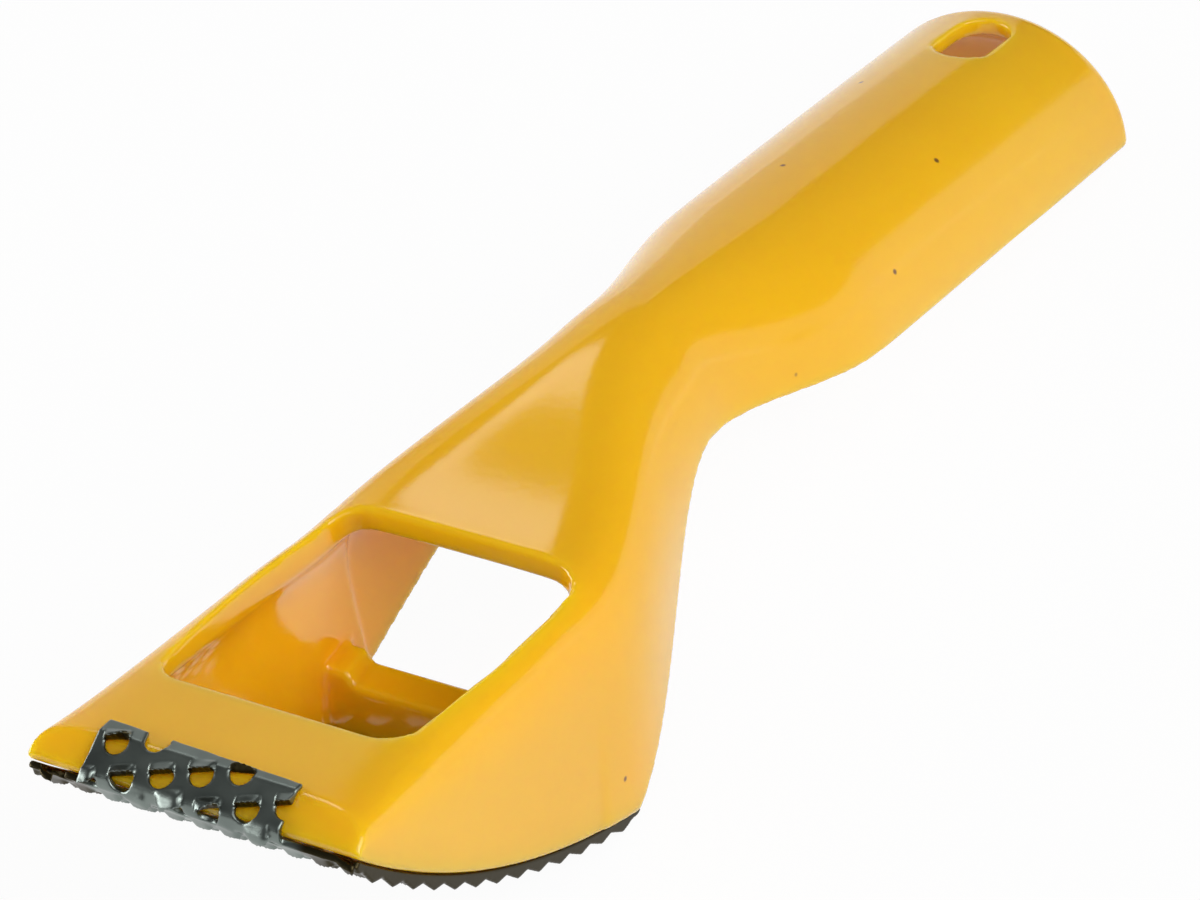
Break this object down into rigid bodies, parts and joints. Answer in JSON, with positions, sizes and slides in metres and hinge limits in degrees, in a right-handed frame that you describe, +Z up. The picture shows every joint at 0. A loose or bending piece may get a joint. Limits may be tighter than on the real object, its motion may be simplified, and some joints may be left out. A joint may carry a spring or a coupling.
{
  "type": "rasp plane",
  "caption": "Yellow moulded hand shaver with a curved perforated rasp blade hooked over its front lip, an open window above the blade and a channelled handle with a hang hole",
  "frame": {"origin": "on the floor under the middle of the tool, which stands on the blade's heel and the handle's end", "axes": "+X runs from the front lip to the handle's end, +Z is up, +Y is across the head"},
  "size_m": [0.1824, 0.042, 0.0403],
  "materials": {
    "yellow_plastic": "glossy, slightly translucent moulding with a fine satin on the brow",
    "blued_steel": "hardened strip with a dark blue-grey oxide",
    "plated_steel": "zinc plated",
    "insert_brass": "turned brass"
  },
  "bodies": {
    "tool": {"body": "yellow_plastic", "rasp_blade": "blued_steel", "thread_insert": "insert_brass"},
    "washer": {"screw_washer": "plated_steel"},
    "screw": {"blade_screw": "plated_steel"}
  },
  "joints": [
    {"name": "screw_travel", "type": "slide", "parent": "tool", "child": "washer", "axis": [0.9783, 0, -0.2071], "range_m": [0, 0.0025]},
    {"name": "screw_turn", "type": "hinge", "parent": "washer", "child": "screw", "pos_m": [-0.0382, 0, 0.00455], "axis": [0.9783, 0, -0.2071], "range_deg": [0, 1800]}
  ],
  "couplings": [
    {"joint": "screw_turn", "follows": "screw_travel", "rad_per_m": 12566}
  ]
}
